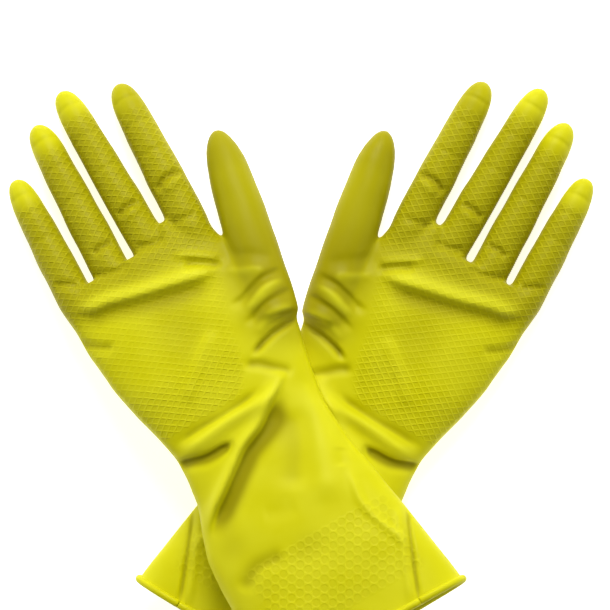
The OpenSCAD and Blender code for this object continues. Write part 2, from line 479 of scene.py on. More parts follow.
# Folds pressed into the palm's side, in the glove's frame, in millimetres. Each is
# (height, reach toward the fingertips, reach toward the cuff, shift toward the fingertips, points),
# its points listed from the little finger's side to the thumb's, or from the cuff upward.
PALM_FOLDS = (
    # The long fold from the web of the thumb across to the little finger's side.
    (1.9, 6.0, 3.0, 3.6, ((-52, 99), (-40, 91), (-31, 89), (-17, 85), (-2, 81.5), (16, 77.5), (28, 78))),
    (-1.0, 2.6, 6.5, -0.8, ((-52, 98), (-40, 91), (-31, 89), (-17, 85), (-2, 81.5), (16, 77.5), (28, 78))),
    (-1.2, 2.6, 2.6, 0, ((10, 91), (20, 86), (29, 80.5))),
    (0.8, 2.4, 2.0, 0, ((8, 97), (18, 91.5), (29, 83))),
    (-0.8, 2.0, 3.2, 0, ((-54, 86), (-46, 77), (-37, 71))),
    # Creases at the roots of the fingers.
    (-1.3, 1.7, 2.4, 0, ((17, 129.5), (22, 132.5), (28, 133.5), (34, 132.5))),
    (0.6, 2.0, 2.4, -3.6, ((19, 130), (28, 133), (35, 132))),
    (-1.2, 1.7, 2.4, 0, ((-6, 128.5), (2, 130.5), (8, 130))),
    (0.5, 2.0, 2.4, -3.6, ((-6, 128.5), (2, 130.5), (8, 130))),
    (-1.1, 1.6, 2.2, 0, ((-26, 118), (-19, 119.5), (-13, 118.5))),
    (-0.9, 1.6, 2.6, 0, ((-32, 110), (-24, 106), (-17.5, 104.5), (-11, 105.5))),
    (-0.9, 1.6, 2.6, 0, ((-6, 111), (1.5, 108), (10, 106.5))),
    (-0.9, 1.6, 2.6, 0, ((-50, 115), (-44, 112), (-38, 108))),
    (-0.7, 1.8, 2.4, 0, ((14, 113), (22, 111), (30, 110))),
    # The thumb's base and the pleats of its ball.
    (-0.5, 3.0, 4.5, 0, ((30, 88), (37, 81), (42, 77.5), (47, 74), (53, 70))),
    (0.5, 2.4, 3.0, -7.0, ((32, 84), (38, 79), (44, 76), (50, 72))),
    (-0.9, 1.6, 3.2, 0, ((20, 60), (28, 60.5), (34.5, 62.5), (42.5, 64), (54, 64))),
    (0.6, 2.4, 2.4, 0, ((26, 54), (33, 56), (41, 58.5), (52, 59))),
    (-1.0, 1.7, 3.0, 0, ((22, 48), (31, 50.5), (37, 52), (44, 52.5), (54, 53))),
    (0.5, 2.2, 1.6, 0, ((24, 41), (34, 44.5), (50, 45.5))),
    (-1.6, 1.2, 2.6, 0, ((17, 33), (24.5, 36.5), (32.5, 38.5), (40.5, 39.5), (50, 40.5))),
    (-1.0, 2.4, 3.0, 0, ((11, 31), (18, 29.5), (26, 22.5), (33, 16))),
    # The heel: a raised band between two hollows.
    (-1.0, 2.6, 2.2, 0, ((-39, 14.5), (-21.5, 15.5), (-9, 15), (3.5, 16), (17, 17.5))),
    (1.7, 3.2, 4.2, 0, ((-38, 9.5), (-26, 9), (-8, 11), (7, 11), (21, 12))),
    (-2.0, 1.5, 4.2, 0, ((-42, 7.5), (-33, 4.5), (-25.5, 2), (-16.5, 1.5), (-8.5, 0.5))),
    # The long fold from the thumb's ball down to the flare of the cuff.
    (2.3, 4.2, 1.7, 0, ((-46, -33), (-36.5, -24), (-26, -16.5), (-16, -9), (-7.5, -3), (4, 2), (13.5, 9),
                        (22, 14.5), (32, 22))),
    (-2.0, 2.4, 6.5, -4.2, ((-46, -34), (-36.5, -24), (-26, -16.5), (-16, -9), (-7.5, -3), (4, 2),
                            (13.5, 9), (24, 15))),
    # The soft diagonals of the palm and the cuff.
    (0.8, 3.4, 3.4, 0, ((-22, 28), (-8.5, 40.5), (9, 55))),
    (1.1, 6.5, 8.0, 0, ((14, -50), (22, -34), (29, -18), (38, 10))),
    (-0.6, 8.0, 7.0, 0, ((2, -36), (8, -26), (14, -16), (22, 4))),
    # The raised seam and the crease on the thumb's side of the cuff.
    (0.9, 2.4, 2.4, 0, ((37.5, -88), (36.5, -79), (32, -67), (29.5, -56), (30.5, -47), (33, -36))),
    (-0.4, 3.2, 3.2, 0, ((29.5, -36), (31.5, -31), (34, -27))),
    (-1.1, 1.5, 1.5, 0, ((28, -116), (34, -100), (42, -80), (49, -64))),
    (0.7, 2.2, 2.2, 4.0, ((28, -116), (34, -100), (42, -80), (49, -64))),
    (-0.3, 5.0, 5.0, 0, ((-16, -37), (-7, -40), (2, -41))),
    (-0.8, 4.5, 4.5, 0, ((-44, -66), (-30, -58), (-14, -60))),
)
# Creases on the back, which lie in the same way but only ever press in.
BACK_FOLDS = (
    (-0.8, 2.0, 3.0, 0, ((-40, 6), (-16, -2), (10, -4), (39, 3))),
    (-0.7, 2.4, 2.4, 0, ((-42, -20), (-18, -13), (6, -15), (34, -24))),
    (-0.6, 2.0, 2.4, 0, ((-30, 20), (-8, 15), (16, 18))),
    (-0.7, 1.8, 2.2, 0, ((34, 74), (41, 70), (50, 69))),
    (-0.5, 2.4, 2.4, 0, ((30, 58), (40, 52), (50, 48))),
    (-0.5, 4.0, 4.0, 0, ((-40, -64), (-20, -52), (8, -56))),
    (-0.6, 3.0, 3.0, 0, ((10, -104), (26, -88), (40, -78))),
)
# Broad swells and hollows of the palm's side: (X, Y, reach across, reach along, height).
SWELLS = (
    (36, 54, 13, 20, 1.4), (-6, 62, 20, 24, -1.0), (-38, 38, 13, 26, 0.9), (-8, 105, 34, 8, 0.5),
    (22, -76, 15, 12, 0.8), (-26, -88, 13, 15, 0.9), (-4, -62, 14, 10, -0.8), (-36, -44, 10, 12, -0.8),
    (-8, -100, 16, 9, -0.7),
)
# Creases across the fingers: (share of the finger's length, depth on the palm's side, on the back).
FINGER_CREASES = ((0.36, 0.0, -0.2), (0.44, -0.24, -0.25), (0.68, -0.2, -0.2))
# The dart just behind each fingertip: (millimetres before the tip, depth).
TIP_DART = (8.5, -0.26)
# How strongly the folds of the palm's side stand out.
FOLD_STRENGTH = 1.5
# How far a face has to turn to the palm's side or the back before the folds reach it in full.
FACING = (0.1, 0.6)


def smooth_line(points, steps=8):
    """A smooth line through these points."""
    points = np.array(points, float)
    ends = np.vstack([2 * points[0] - points[1], points, 2 * points[-1] - points[-2]])
    t = np.linspace(0, 1, steps, endpoint=False)[:, None]
    rows = [0.5 * (2 * b + (c - a) * t + (2 * a - 5 * b + 4 * c - d) * t ** 2
                   + (3 * b - a - 3 * c + d) * t ** 3)
            for a, b, c, d in zip(ends, ends[1:], ends[2:], ends[3:])]
    return np.vstack(rows + [points[-1:]])


def beside_line(places, line):
    """Distance of each place from the line, above 0 on its left, and its share of the way along."""
    steps = np.diff(line, axis=0)
    lengths = np.linalg.norm(steps, axis=1)
    before = np.concatenate([[0], np.cumsum(lengths)])
    nearest = np.full(len(places), np.inf)
    signed = np.zeros(len(places))
    share = np.zeros(len(places))
    for start, step, length, gone in zip(line, steps, lengths, before):
        offset = places - start
        along = np.clip(offset @ step / length ** 2, 0, 1)
        distance = np.linalg.norm(offset - along[:, None] * step, axis=1)
        closer = distance < nearest
        side = np.where(step[0] * offset[:, 1] - step[1] * offset[:, 0] < 0, -1.0, 1.0)
        nearest = np.where(closer, distance, nearest)
        signed = np.where(closer, side * distance, signed)
        share = np.where(closer, (gone + along * length) / before[-1], share)
    return signed, share


def add_fold(heights, places, fold, fade=0.22):
    """Adds a fold's height at each place, fading over this share of its line at both ends."""
    height, left, right, shift, points = fold
    line = smooth_line(points)
    margin = 3 * max(left, right) + abs(shift)
    near = np.flatnonzero(np.all((places > line.min(axis=0) - margin)
                                 & (places < line.max(axis=0) + margin), axis=1))
    signed, share = beside_line(places[near], line)
    signed = signed - shift
    profile = np.exp(-(signed / np.where(signed > 0, left, right)) ** 2)
    heights[near] += height * profile * ease(share, 0, fade) * (1 - ease(share, 1 - fade, 1))


def finger_folds(side_column):
    """The creases across each finger, as folds. Column 1 is the palm's side and 2 the back."""
    folds = []
    for finger, size in FINGER_SIZES.items():
        if finger == "thumb" and side_column == 1:
            continue
        length, radius = size["length"] / MM, size["radius"] / MM
        creases = [(share * length, row[side_column - 1])
                   for share, *row in FINGER_CREASES if row[side_column - 1]]
        if side_column == 1:
            creases.append((length - TIP_DART[0], TIP_DART[1]))
        for reach, depth in creases:
            middle = (size["root"] / MM + size["direction"] * reach)[:2]
            across = np.array((size["direction"][1], -size["direction"][0])) * radius * 0.9
            bow = size["direction"][:2] * 1.2
            folds.append((depth, 1.1, 1.5, 0, (middle - across, middle + bow, middle + across)))
    return folds


def front_height(places):
    """Height of the folds and swells of the palm's side, in millimetres."""
    heights = np.zeros(len(places))
    for fold in (*PALM_FOLDS, *finger_folds(1)):
        add_fold(heights, places, fold)
    heights *= FOLD_STRENGTH
    for x, y, wide, long, height in SWELLS:
        heights += height * np.exp(-((places[:, 0] - x) / wide) ** 2 - ((places[:, 1] - y) / long) ** 2)
    return heights


def back_height(places):
    """Height of the creases of the back, in millimetres."""
    heights = np.zeros(len(places))
    for fold in (*BACK_FOLDS, *finger_folds(2)):
        add_fold(heights, places, fold)
    return heights


def lowest(height, places, reach):
    """The least height within this reach, so that an inner layer stays inside every crease."""
    steps = [(0, 0)] + [(reach * share * math.cos(turn), reach * share * math.sin(turn))
                        for share in (0.5, 1) for turn in np.radians(range(0, 360, 60))]
    return np.min([height(places + step) for step in steps], axis=0)


def waviness(points):
    """Slow unevenness of a dipped skin, about a quarter of a millimetre."""
    x, y, z = points.T
    return (0.16 * np.sin(0.17 * x + 0.11 * y + 1.3) * np.sin(0.13 * y - 0.11 * z)
            + 0.05 * np.sin(0.31 * x - 0.23 * y + 0.3 * z))


def press_folds(obj, inset=0.0, reach=0.0):
    """Presses the folds into a copy of the form, moves it inward, and returns how far it was raised."""
    points, normals = get_points(obj), get_normals(obj)
    places = points[:, :2] / MM
    if reach:
        front, back = (lowest(height, places, reach) for height in (front_height, back_height))
    else:
        front, back = front_height(places), back_height(places)
    facing = ease(normals[:, 2], *FACING)
    turned = ease(-normals[:, 2], *FACING)
    points += normals * (waviness(points / MM) * MM - inset)[:, None]
    points[:, 2] += (front * facing - back * turned) * MM
    set_points(obj, points)
    return front * facing + back * turned


# ---------------------------------------------------------------- the grip

# All of these are in the glove's frame, in millimetres. Edge of the diamond lattice on the thumb's
# side, as (Y, X).
LATTICE_EDGE = ((18, 3), (23, 8), (32, 13), (58, 19), (78, 27), (92, 33), (108, 38))
# How far the lattice fades in across that edge.
LATTICE_FADE = (-5, 2)
# Y of the lattice's start at the heel and of the knuckles, and bare latex at each fingertip.
LATTICE_HEEL = 19
KNUCKLES = 108
SMOOTH_TIP = 15
# The thumb is bare beyond this X, up to this Y.
BARE_THUMB = (34.5, 112)
# The hollow of the palm, where the lattice is worn: Y from and to, fade, and share that is lost.
WORN_HOLLOW = (50, 88, 12)
WORN_SHARE = 0.55
# The cuff's scales: Y from and to, fade; X from and to, fade.
SCALES_ALONG = (-96, -59, 3)
SCALES_ACROSS = (-34, 38, 5)
# Painted shade, darker on the thumb's ball and the fingers: the thumb's ball in X and Y, the fingers in Y,
# from none to all.
BALL_ACROSS = (6, 46)
BALL_ALONG = (10, 52)
FINGERS_ALONG = (72, 106)
BALL_SHADE = 0.95
FINGERS_SHADE = 0.72
# Each fingertip is paler, a painted highlight: share of the painted shade at the tip, and where it changes,
# before the tip.
TIP_SHADE = 0.35
TIP_FADE = (6, 24)


def nearest_finger(points, fingers):
    """For each point, the nearest finger's place in the list and the distance along that finger."""
    along, off = [], []
    for finger in fingers:
        size = FINGER_SIZES[finger]
        offset = points - size["root"]
        reach = offset @ size["direction"]
        along.append(reach)
        off.append(np.linalg.norm(offset - reach[:, None] * size["direction"], axis=1))
    along, off = np.array(along), np.array(off)
    nearest = off.argmin(axis=0)
    return nearest, along[nearest, np.arange(len(points))]


def before_tip(nearest, along):
    """How far before the tip of its finger each point lies, in millimetres."""
    lengths = np.array([FINGER_SIZES[finger]["length"] for finger in FINGERS])
    return (lengths[nearest] - along) / MM


def grip_masks(points, normals):
    """How strongly the lattice and the scales show at each point."""
    x, y = points[:, 0] / MM, points[:, 1] / MM
    facing = ease(normals[:, 2], 0.3, 0.6)
    nearest, along = nearest_finger(points, FINGERS)
    edge = np.interp(y, *zip(*LATTICE_EDGE))
    on_finger = ease(before_tip(nearest, along), SMOOTH_TIP - 2, SMOOTH_TIP + 2)
    on_thumb = (nearest == 0) | ((x > BARE_THUMB[0]) & (y < BARE_THUMB[1]))
    past_heel = ease(y, LATTICE_HEEL - 1, LATTICE_HEEL + 1.5)
    lattice = facing * past_heel * (1 - ease(x - edge, *LATTICE_FADE))
    lattice = np.where(y > KNUCKLES, facing * on_finger * (nearest > 0), lattice * ~on_thumb)
    lattice *= 1 - WORN_SHARE * band(y, *WORN_HOLLOW)
    scales = facing * band(y, *SCALES_ALONG) * band(x, *SCALES_ACROSS)
    return lattice, scales


def painted_shade_share(points):
    """Painted shade on the thumb's ball, the thumb and the fingers, easing off to a paler painted highlight
    at each fingertip.
    """
    x, y = points[:, 0] / MM, points[:, 1] / MM
    ball = ease(x, *BALL_ACROSS) * ease(y, *BALL_ALONG)
    inward = ease(before_tip(*nearest_finger(points, FINGERS)), *TIP_FADE)
    fingers = ease(y, *FINGERS_ALONG) * (TIP_SHADE + (1 - TIP_SHADE) * inward)
    return BALL_SHADE * ball * (1 - fingers) + FINGERS_SHADE * fingers


# ---------------------------------------------------------------- seams between the pieces

# Distance of each piece's edge beyond the root of its finger, clear of the webs, in millimetres.
SEAM_REACH = {"thumb": 9.0, "index": 4.0, "middle": 4.0, "ring": 4.0, "little": 4.0}
# How far around its finger's axis a seam cuts, and the Y beyond which the thumb's never does.
THUMB_WIDTH = 15 * MM
FINGER_WIDTH = 16 * MM
THUMB_TOP = 160 * MM
PARTS = ("palm", "cuff") + FINGERS
# The farthest a corner lies from its seam's plane, and a rim's from the middle of its plane.
ON_SEAM = 0.004 * MM
RIM_REACH = 75 * MM
# Only faces this near to a seam are cut by its plane.
CUT_BAND = 9 * MM
WRIST_SEAM = (np.zeros(3), np.array((0.0, 1.0, 0.0)))
# Gap between the latex and its lining, and how far round each corner an inner layer looks for the
# deepest fold, in millimetres.
LINING_GAP = 0.35 * MM
INNER_LOOK = 2.4
LINING_LOOK = 3.2


def seam(finger):
    """Centre and direction of the plane where a finger's stall meets the palm."""
    size = FINGER_SIZES[finger]
    return size["root"] + size["direction"] * SEAM_REACH[finger] * MM, size["direction"]


def mouth_plane(mouth_y):
    return np.array((0.0, mouth_y, 0.0)), np.array((0.0, 1.0, 0.0))


def rim_planes(mouth_y):
    """The planes of the wrist, the mouth and the fingers, at which the pieces end."""
    return [WRIST_SEAM, mouth_plane(mouth_y)] + [seam(finger) for finger in FINGERS]


def beyond(points):
    """For each finger, how far each point lies beyond its seam; far below 0 where it isn't near it."""
    nearest, _ = nearest_finger(points, FINGERS[1:])
    reaches = {}
    for place, finger in enumerate(FINGERS):
        centre, direction = seam(finger)
        offset = points - centre
        reach = offset @ direction
        off = np.linalg.norm(offset - reach[:, None] * direction, axis=1)
        if finger == "thumb":
            near = (off < THUMB_WIDTH) & (points[:, 1] < THUMB_TOP)
        else:
            near = (nearest == place - 1) & (off < FINGER_WIDTH)
        reaches[finger] = np.where(near, reach, -1.0)
    return reaches


def cut(obj, plane, chosen, **sides):
    """Cuts the chosen faces along a plane."""
    select_faces(obj, chosen)
    edit(obj)
    bpy.ops.mesh.bisect(plane_co=plane[0], plane_no=plane[1], threshold=1e-7, **sides)
    done()


def cut_seams(obj, mouth_y):
    """Opens the mouth and puts an edge along every seam."""
    every = np.ones(len(obj.data.polygons), bool)
    cut(obj, mouth_plane(mouth_y), every, clear_inner=True)
    cut(obj, WRIST_SEAM, np.abs(face_centres(obj)[:, 1]) < CUT_BAND)
    for finger in FINGERS:
        cut(obj, seam(finger), np.abs(beyond(face_centres(obj))[finger]) < CUT_BAND)


def part_of_faces(obj):
    """The place in PARTS of the piece that each face belongs to."""
    centres = face_centres(obj)
    parts = np.where(centres[:, 1] < 0, PARTS.index("cuff"), PARTS.index("palm"))
    for finger, reach in beyond(centres).items():
        parts[reach > 0] = PARTS.index(finger)
    return parts


def take_part(source, part, name):
    """A copy of one part's faces."""
    piece = copy_of(source, name)
    keep_faces(piece, part_of_faces(piece) == PARTS.index(part))
    return piece


def open_edges(mesh):
    """Which edges have only one face."""
    uses = read(mesh.loops, "edge_index", kind=np.int32)
    return np.bincount(uses, minlength=len(mesh.edges)) == 1


def edge_corners(mesh):
    """The two corners of every edge."""
    return read(mesh.edges, "vertices", 2, np.int32)


def bridge(obj, chosen):
    """Joins two open loops, an outer and an inner one, with a rim."""
    select_edges(obj, chosen)
    edit(obj)
    bpy.ops.mesh.bridge_edge_loops()
    done()


def close_rims(obj, mouth_y):
    """Closes a wall between its outer and inner faces at every seam and at the mouth."""
    for centre, direction in rim_planes(mouth_y):
        ends = get_points(obj)[edge_corners(obj.data)] - centre
        flat = np.all(np.abs(ends @ direction) < ON_SEAM, axis=1)
        near = np.all(np.linalg.norm(ends, axis=2) < RIM_REACH, axis=1)
        chosen = open_edges(obj.data) & flat & near
        if chosen.any():
            bridge(obj, chosen)
    if open_edges(obj.data).any():
        raise RuntimeError(f"{obj.name} still has {open_edges(obj.data).sum()} open edges")


def store(obj, name, kind, values):
    """Keeps a value for each corner as an attribute of the mesh."""
    attribute = obj.data.attributes.new(name, kind, "POINT")
    attribute.data.foreach_set("vector" if kind == "FLOAT_VECTOR" else "value",
                               np.ascontiguousarray(values, dtype=np.float32).ravel())


def shade_across_seams(obj, mouth_y):
    """Shades each wall as if the glove were whole, and its rims as flat, so that no seam shows."""
    mesh = obj.data
    only(obj)
    bpy.ops.object.shade_smooth()
    normals = read(mesh.attributes["whole_normal"].data, "vector", 3)
    face_normals = read(mesh.polygons, "normal", 3)
    corner_vertex = read(mesh.loops, "vertex_index", kind=np.int32)
    totals = read(mesh.polygons, "loop_total", kind=np.int32)
    corner_face = np.repeat(np.arange(len(mesh.polygons)), totals)
    points = get_points(obj)
    rim = np.zeros(len(mesh.polygons), bool)
    for centre, direction in rim_planes(mouth_y):
        on_plane = np.abs((points - centre) @ direction) < ON_SEAM
        rim |= np.bincount(corner_face, weights=~on_plane[corner_vertex], minlength=len(rim)) == 0
    custom = np.where(rim[corner_face][:, None], face_normals[corner_face], normals[corner_vertex])
    mesh.normals_split_custom_set(custom.tolist())
    mesh.attributes.remove(mesh.attributes["whole_normal"])


class GLOVES_OT_skin(bpy.types.Operator):
    """Presses the folds into the form, marks its grip, and makes its outer, inner and lining layers"""

    bl_idname = "gloves.skin"
    bl_label = "Folded skin"

    def execute(self, context):
        sizes = context.scene.glove_sizes
        form = bpy.data.objects["glove_form"]
        mouth_y = MOUTH_Y + sizes.bead

        outer = copy_of(form, "glove_outer")
        gather = press_folds(outer)
        # The folds' height, which the material paints as a highlight on the ridges and as shade in the
        # grooves.
        store(outer, "gather", "FLOAT", gather)
        lattice, scales = grip_masks(get_points(outer), get_normals(outer))
        store(outer, "lattice", "FLOAT", lattice)
        store(outer, "scales", "FLOAT", scales)
        # Painted shade on the thumb's ball and the fingers, paler towards each fingertip.
        store(outer, "tone", "FLOAT", painted_shade_share(get_points(outer)))
        store(outer, "place", "FLOAT_VECTOR", get_points(outer))
        store(outer, "whole_normal", "FLOAT_VECTOR", get_normals(outer))
        cut_seams(outer, mouth_y)

        add_modifier(form, "DECIMATE", ratio=sizes.inner_share)
        inner = copy_of(form, "glove_inner")
        press_folds(inner, inset=sizes.skin, reach=INNER_LOOK)
        edit(inner)
        bpy.ops.mesh.select_all(action="SELECT")
        bpy.ops.mesh.flip_normals()
        done()
        for name in ("gather", "lattice", "scales", "tone"):
            store(inner, name, "FLOAT", np.zeros(len(inner.data.vertices)))
        store(inner, "place", "FLOAT_VECTOR", get_points(inner))
        store(inner, "whole_normal", "FLOAT_VECTOR", get_normals(inner))
        cut_seams(inner, mouth_y)

        lining = copy_of(form, "glove_lining")
        press_folds(lining, inset=sizes.skin + LINING_GAP, reach=LINING_LOOK)
        cut_seams(lining, mouth_y + sizes.lining_hem)
        return {"FINISHED"}


def latex_piece(part):
    """One closed piece of the latex wall, in the glove's frame."""
    mouth_y = MOUTH_Y + bpy.context.scene.glove_sizes.bead
    walls = [take_part(bpy.data.objects[f"glove_{layer}"], part, f"{part}_{layer}")
             for layer in ("outer", "inner")]
    piece = only(walls[1], walls[0])
    bpy.ops.object.join()
    close_rims(piece, mouth_y)
    shade_across_seams(piece, mouth_y)
    return piece


# ---------------------------------------------------------------- materials

def new_group(name, inputs, outputs):
    """A shader node group with named sockets, and its input and output nodes."""
    group = bpy.data.node_groups.new(name, "ShaderNodeTree")
    for label, kind, value in inputs:
        socket = group.interface.new_socket(name=label, in_out="INPUT", socket_type=kind)
        socket.default_value = value
    for label, kind in outputs:
        group.interface.new_socket(name=label, in_out="OUTPUT", socket_type=kind)
    return group, group.nodes.new("NodeGroupInput"), group.nodes.new("NodeGroupOutput")


def add_node(tree, kind, **settings):
    node = tree.nodes.new(kind)
    for key, value in settings.items():
        if key in node.inputs:
            node.inputs[key].default_value = value
        else:
            setattr(node, key, value)
    return node


def feed(tree, source, socket):
    """Links a socket to where its value comes from, or gives it a plain value."""
    if isinstance(source, bpy.types.NodeSocket):
        tree.links.new(source, socket)
    else:
        socket.default_value = source


def cloud(tree, place, scale, detail, roughness, low, high):
    """Noise of this scale, stretched so that it runs from 0 at low to 1 at high."""
    noise = add_node(tree, "ShaderNodeTexNoise", Detail=detail, Roughness=roughness)
    tree.links.new(place, noise.inputs["Vector"])
    feed(tree, scale, noise.inputs["Scale"])
    stretched = add_node(tree, "ShaderNodeMapRange")
    stretched.inputs["From Min"].default_value = low
    stretched.inputs["From Max"].default_value = high
    tree.links.new(noise.outputs["Fac"], stretched.inputs["Value"])
    return stretched.outputs["Result"]


def mix_colour(tree, share, first, second):
    """A colour between two, each given as a socket or a plain value."""
    node = add_node(tree, "ShaderNodeMix", data_type="RGBA", clamp_factor=True)
    for place, source in ((0, share), (6, first), (7, second)):
        feed(tree, source, node.inputs[place])
    return node.outputs[2]


def arithmetic(tree, operation, *values):
    node = add_node(tree, "ShaderNodeMath", operation=operation)
    for socket, source in zip(node.inputs, values):
        feed(tree, source, socket)
    return node.outputs[0]


def dipped_group():
    """The slow clouding and the fine grain of a dipped skin, as a share and a height."""
    group, start, end = new_group(
        "dipped_skin",
        (("Cloud scale", "NodeSocketFloat", 60.0), ("Grain scale", "NodeSocketFloat", 2600.0)),
        (("Cloud", "NodeSocketFloat"), ("Grain", "NodeSocketFloat")))
    place = add_node(group, "ShaderNodeTexCoord")
    for output, detail, low, high in (("Cloud", 3.0, 0.32, 0.68), ("Grain", 2.0, 0.3, 0.7)):
        scale = start.outputs[f"{output} scale"]
        share = cloud(group, place.outputs["Object"], scale, detail, 0.5, low, high)
        group.links.new(share, end.inputs[output])
    return group


def new_material(name):
    """A new material, its node tree and its shader."""
    material = bpy.data.materials.new(name)
    material.use_nodes = True
    return material, material.node_tree, material.node_tree.nodes["Principled BSDF"]


def dipped_node(tree, cloud_scale, grain_scale):
    """The shared clouding and grain, at these scales."""
    group = bpy.data.node_groups.get("dipped_skin") or dipped_group()
    return add_node(tree, "ShaderNodeGroup", node_tree=group,
                    **{"Cloud scale": cloud_scale, "Grain scale": grain_scale})


def attribute(tree, name):
    """A value that the mesh keeps for each of its corners."""
    return add_node(tree, "ShaderNodeAttribute", attribute_name=name).outputs["Fac"]


def spread(tree, value, low, high, to_low=0.0, to_high=1.0):
    """Eases from to_low, where the value is low, to to_high, where it's high."""
    node = add_node(tree, "ShaderNodeMapRange", interpolation_type="SMOOTHSTEP")
    for label, number in (("From Min", low), ("From Max", high), ("To Min", to_low), ("To Max", to_high)):
        node.inputs[label].default_value = number
    tree.links.new(value, node.inputs["Value"])
    return node.outputs["Result"]


def bump(tree, height, strength, distance, under=None):
    """Normals of this relief, laid over the relief under it."""
    node = add_node(tree, "ShaderNodeBump", Strength=strength, Distance=distance)
    tree.links.new(height, node.inputs["Height"])
    if under:
        tree.links.new(under, node.inputs["Normal"])
    return node.outputs["Normal"]


def wave(tree, place, spacing, angle):
    """A value that runs from -1 to 1 and back across the lines of this spacing and angle."""
    turned = add_node(tree, "ShaderNodeVectorRotate", rotation_type="Z_AXIS", Angle=-angle)
    tree.links.new(place, turned.inputs["Vector"])
    split = add_node(tree, "ShaderNodeSeparateXYZ")
    tree.links.new(turned.outputs[0], split.inputs[0])
    phase = arithmetic(tree, "MULTIPLY", split.outputs["Y"], 2 * math.pi / spacing)
    return arithmetic(tree, "COSINE", phase)


def grip_group(grip):
    """The raised lines of the palm's lattice and of the cuff's scales, from the glove's own place."""
    group, start, end = new_group("grip_relief", (), (("Lattice", "NodeSocketFloat"),
                                                      ("Scales", "NodeSocketFloat")))
    group.interface.new_socket(name="Place", in_out="INPUT", socket_type="NodeSocketVector")
    place = start.outputs["Place"]
    lines = [spread(group, wave(group, place, grip.diamond, angle), 0.45, 0.95)
             for angle in (grip.diamond_angle, -grip.diamond_angle)]
    lattice = arithmetic(group, "MAXIMUM", *lines)
    group.links.new(lattice, end.inputs["Lattice"])
    waves = [wave(group, place, grip.scale * math.sqrt(3) / 2, math.radians(turn)) for turn in (0, 60, 120)]
    total = arithmetic(group, "ADD", arithmetic(group, "ADD", *waves[:2]), waves[2])
    group.links.new(spread(group, total, -0.2, -1.3), end.inputs["Scales"])
    return group


def latex_material(name, context, pressed):
    """Dipped latex: paler in random clouds where it is stretched thin and, on a pressed skin, with painted
    highlights on the ridges of the folds and the grip's raised lines, and painted shade in the folds'
    grooves, the grip's cells, the thumb's ball and the fingers.
    """
    colours = context.scene.glove_colours
    material, tree, shader = new_material(name)
    skin = dipped_node(tree, cloud_scale=46.0, grain_scale=2400.0)
    colour = mix_colour(tree, spread(tree, skin.outputs["Cloud"], 0, 1, 0.0, 0.4),
                        colours.latex, colours.thin_and_highlight)
    rough = spread(tree, skin.outputs["Cloud"], 0, 1, 0.42, 0.52)
    under = None
    if pressed:
        gather, tone = attribute(tree, "gather"), attribute(tree, "tone")
        relief = add_node(tree, "ShaderNodeGroup", node_tree=grip_group(context.scene.glove_grip))
        place = add_node(tree, "ShaderNodeAttribute", attribute_name="place")
        tree.links.new(place.outputs["Vector"], relief.inputs["Place"])
        # Painted shade on the thumb's ball and the fingers, paler towards each fingertip.
        colour = mix_colour(tree, spread(tree, tone, 0, 1, 0.0, 0.9), colour, colours.painted_shade_colour)
        # Painted highlight on the ridges of the folds, and painted shade in their grooves.
        colour = mix_colour(tree, spread(tree, gather, 0.3, 2.4, 0.0, 0.7), colour, colours.thin_and_highlight)
        colour = mix_colour(tree, spread(tree, gather, -0.2, -2.4, 0.0, 0.9), colour, colours.painted_shade_colour)
        for label, depth in (("Lattice", context.scene.glove_grip.diamond_depth),
                             ("Scales", context.scene.glove_grip.scale_depth)):
            mask = attribute(tree, label.lower())
            raised = arithmetic(tree, "MULTIPLY", relief.outputs[label], mask)
            sunk = arithmetic(tree, "SUBTRACT", mask, raised)
            share = 600 * depth
            # Painted shade in the grip's sunken cells and a painted highlight on its raised lines, besides
            # the bump of the relief.
            colour = mix_colour(tree, arithmetic(tree, "MULTIPLY", sunk, share), colour, colours.painted_shade_colour)
            colour = mix_colour(tree, arithmetic(tree, "MULTIPLY", raised, share), colour, colours.thin_and_highlight)
            under = bump(tree, raised, 1.0, depth, under)
    tree.links.new(colour, shader.inputs["Base Color"])
    tree.links.new(rough, shader.inputs["Roughness"])
    shader.inputs["IOR"].default_value = 1.47
    shader.inputs["Specular IOR Level"].default_value = 0.12
    tree.links.new(bump(tree, skin.outputs["Grain"], 0.12, 0.0001, under), shader.inputs["Normal"])
    return material


def flock_material(colours):
    """Short cotton fibres: rough, pale, and slightly uneven."""
    material, tree, shader = new_material("cotton_flock")
    skin = dipped_node(tree, cloud_scale=90.0, grain_scale=5200.0)
    pale = tuple(min(1.0, channel * 1.15) for channel in colours.flock[:3]) + (1.0,)
    colour = mix_colour(tree, skin.outputs["Cloud"], colours.flock, pale)
    fibres = mix_colour(tree, spread(tree, skin.outputs["Grain"], 0.2, 0.8, 0.25, 0.0), colour,
                        (0.55, 0.52, 0.2, 1))
    tree.links.new(fibres, shader.inputs["Base Color"])
    shader.inputs["Roughness"].default_value = 0.95
    shader.inputs["Sheen Weight"].default_value = 0.4
    shader.inputs["Sheen Roughness"].default_value = 0.6
    tree.links.new(bump(tree, skin.outputs["Grain"], 0.9, 0.0003), shader.inputs["Normal"])
    return material


# ---------------------------------------------------------------- pieces

# Room left between the two gloves where one lies on the other, and where the pressing fades out:
# inside the outline of the right glove's body, and along it, in millimetres.
UNDER_CLEARANCE = 0.4 * MM
UNDER_EDGE = (1.0, 4.0)
UNDER_END = (20, 45)
# The bead's section, rolled outward from the mouth, as (share of its radius, degrees) round its middle.
BEAD_SECTION = [(1.0, turn) for turn in range(0, 300, 20)] + [(0.97, 305), (0.80, 322), (0.93, 340)]


def pressed_under(points):
    """Keeps the left glove just clear of the back of the right one, which lies on it."""
    places = in_glove("right", points)
    x, y = places[:, 0] / MM, places[:, 1] / MM
    along, little_side, thumb_side = np.array(BODY).T[:3]
    inside = np.minimum(x - np.interp(y, along, little_side), np.interp(y, along, thumb_side) - x)
    share = ease(inside, *UNDER_EDGE) * (1 - ease(y, *UNDER_END))
    over = np.maximum(places[:, 2] + UNDER_CLEARANCE, 0) * share
    return points - np.array(GLOVE_FRAMES["right"])[:3, 2] * over[:, None]


